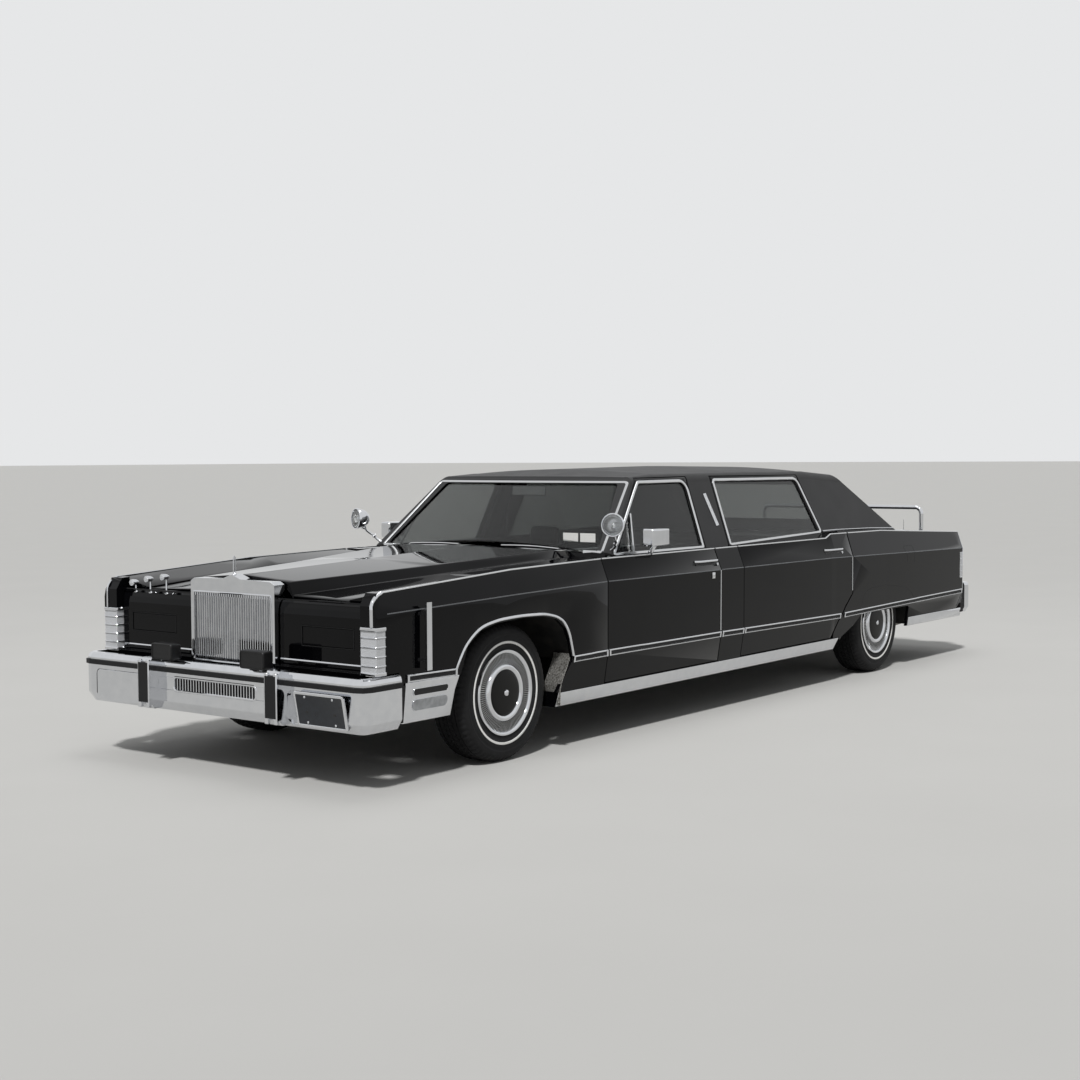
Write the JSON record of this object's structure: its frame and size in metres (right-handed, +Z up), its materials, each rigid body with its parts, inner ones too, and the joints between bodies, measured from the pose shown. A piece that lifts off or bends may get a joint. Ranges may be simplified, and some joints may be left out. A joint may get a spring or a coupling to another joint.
{
  "type": "stretch limousine",
  "caption": "Long stretch limousine with blade fenders, an upright barred grille, covered headlamps and a padded roof; doors, hood, trunk lid, steering and wheels move.",
  "frame": {"origin": "on the ground, under the middle of the car's length and width", "axes": "+X forward, +Y to the car's left, +Z up"},
  "size_m": [7.02, 2.072, 1.4898],
  "materials": {
    "paint": "gloss",
    "vinyl": "satin grained",
    "chrome": "polished",
    "clear_glass": "clear",
    "lens": "ribbed",
    "rubber": "matt",
    "tyre": "matt",
    "wheel_cover": "polished",
    "black_metal": "satin",
    "cast_metal": "rough",
    "upholstery": "soft",
    "cabin_trim": "satin"
  },
  "bodies": {
    "hood_body": {"hood": "paint"},
    "trunk_body": {"trunk_lid": "paint", "grab_rail": "chrome"},
    "front_door_left": {"door_front_left": "paint", "door_glass_front_left": "clear_glass", "door_mirror_left": "chrome"},
    "rear_door_left": {"door_rear_left": "paint", "door_glass_rear_left": "clear_glass"},
    "steered_left": {"knuckle_left": "cast_metal"},
    "front_wheel_left": {"wheel_front_left": "wheel_cover", "tyre_front_left": "tyre"},
    "rear_wheel_left": {"wheel_rear_left": "wheel_cover", "tyre_rear_left": "tyre"},
    "front_door_right": {"door_front_right": "paint", "door_glass_front_right": "clear_glass", "door_mirror_right": "chrome"},
    "rear_door_right": {"door_rear_right": "paint", "door_glass_rear_right": "clear_glass"},
    "steered_right": {"knuckle_right": "cast_metal"},
    "front_wheel_right": {"wheel_front_right": "wheel_cover", "tyre_front_right": "tyre"},
    "rear_wheel_right": {"wheel_rear_right": "wheel_cover", "tyre_rear_right": "tyre"},
    "car": {"auxiliary_lamps": "chrome", "bumpers": "chrome", "cabin_bulkheads": "cabin_trim", "chassis_frame": "black_metal", "corner_lamps": "lens", "cowl": "paint", "dashboard": "cabin_trim", "engine_and_radiator": "cast_metal", "exhaust_and_tank": "black_metal", "fender_left": "paint", "fender_right": "paint", "fixed_glass": "clear_glass", "flag_holders": "chrome", "floor_pan": "black_metal", "trunk_floor_and_housings": "black_metal", "front_bumper_rubber": "rubber", "front_suspension": "cast_metal", "grille": "chrome", "lower_side_trims": "chrome", "nose_panels": "paint", "quarter_left": "paint", "quarter_right": "paint", "rear_axle": "cast_metal", "rear_panels": "paint", "roof": "vinyl", "seats": "upholstery", "sills_and_centre_posts": "paint"}
  },
  "joints": [
    {"name": "hood_hinge", "type": "hinge", "parent": "car", "child": "hood_body", "pos_m": [1.46, 0, 1.05], "axis": [0, -1, 0], "range_deg": [0, 50]},
    {"name": "trunk_hinge", "type": "hinge", "parent": "car", "child": "trunk_body", "pos_m": [-2.566, 0, 1.022], "axis": [0, 1, 0], "range_deg": [0, 70]},
    {"name": "front_door_hinge_left", "type": "hinge", "parent": "car", "child": "front_door_left", "pos_m": [1.519, 1.007, 0.65], "axis": [0, 0, -1], "range_deg": [0, 65]},
    {"name": "rear_door_hinge_left", "type": "hinge", "parent": "car", "child": "rear_door_left", "pos_m": [0.0505, 1.007, 0.65], "axis": [0, 0, -1], "range_deg": [0, 65]},
    {"name": "steering_left", "type": "hinge", "parent": "car", "child": "steered_left", "pos_m": [2.32, 0.716, 0.355], "axis": [0, 0, 1], "range_deg": [-30, 30]},
    {"name": "front_wheel_spin_left", "type": "hinge", "parent": "steered_left", "child": "front_wheel_left", "pos_m": [2.32, 0.816, 0.355], "axis": [0, 1, 0], "continuous": true},
    {"name": "rear_wheel_spin_left", "type": "hinge", "parent": "car", "child": "rear_wheel_left", "pos_m": [-1.98, 0.816, 0.355], "axis": [0, 1, 0], "continuous": true},
    {"name": "front_door_hinge_right", "type": "hinge", "parent": "car", "child": "front_door_right", "pos_m": [1.519, -1.007, 0.65], "axis": [0, 0, 1], "range_deg": [0, 65]},
    {"name": "rear_door_hinge_right", "type": "hinge", "parent": "car", "child": "rear_door_right", "pos_m": [0.0505, -1.007, 0.65], "axis": [0, 0, 1], "range_deg": [0, 65]},
    {"name": "steering_right", "type": "hinge", "parent": "car", "child": "steered_right", "pos_m": [2.32, -0.716, 0.355], "axis": [0, 0, 1], "range_deg": [-30, 30]},
    {"name": "front_wheel_spin_right", "type": "hinge", "parent": "steered_right", "child": "front_wheel_right", "pos_m": [2.32, -0.816, 0.355], "axis": [0, 1, 0], "continuous": true},
    {"name": "rear_wheel_spin_right", "type": "hinge", "parent": "car", "child": "rear_wheel_right", "pos_m": [-1.98, -0.816, 0.355], "axis": [0, 1, 0], "continuous": true}
  ],
  "couplings": [
    {"joint": "steering_right", "follows": "steering_left", "ratio": 1}
  ]
}
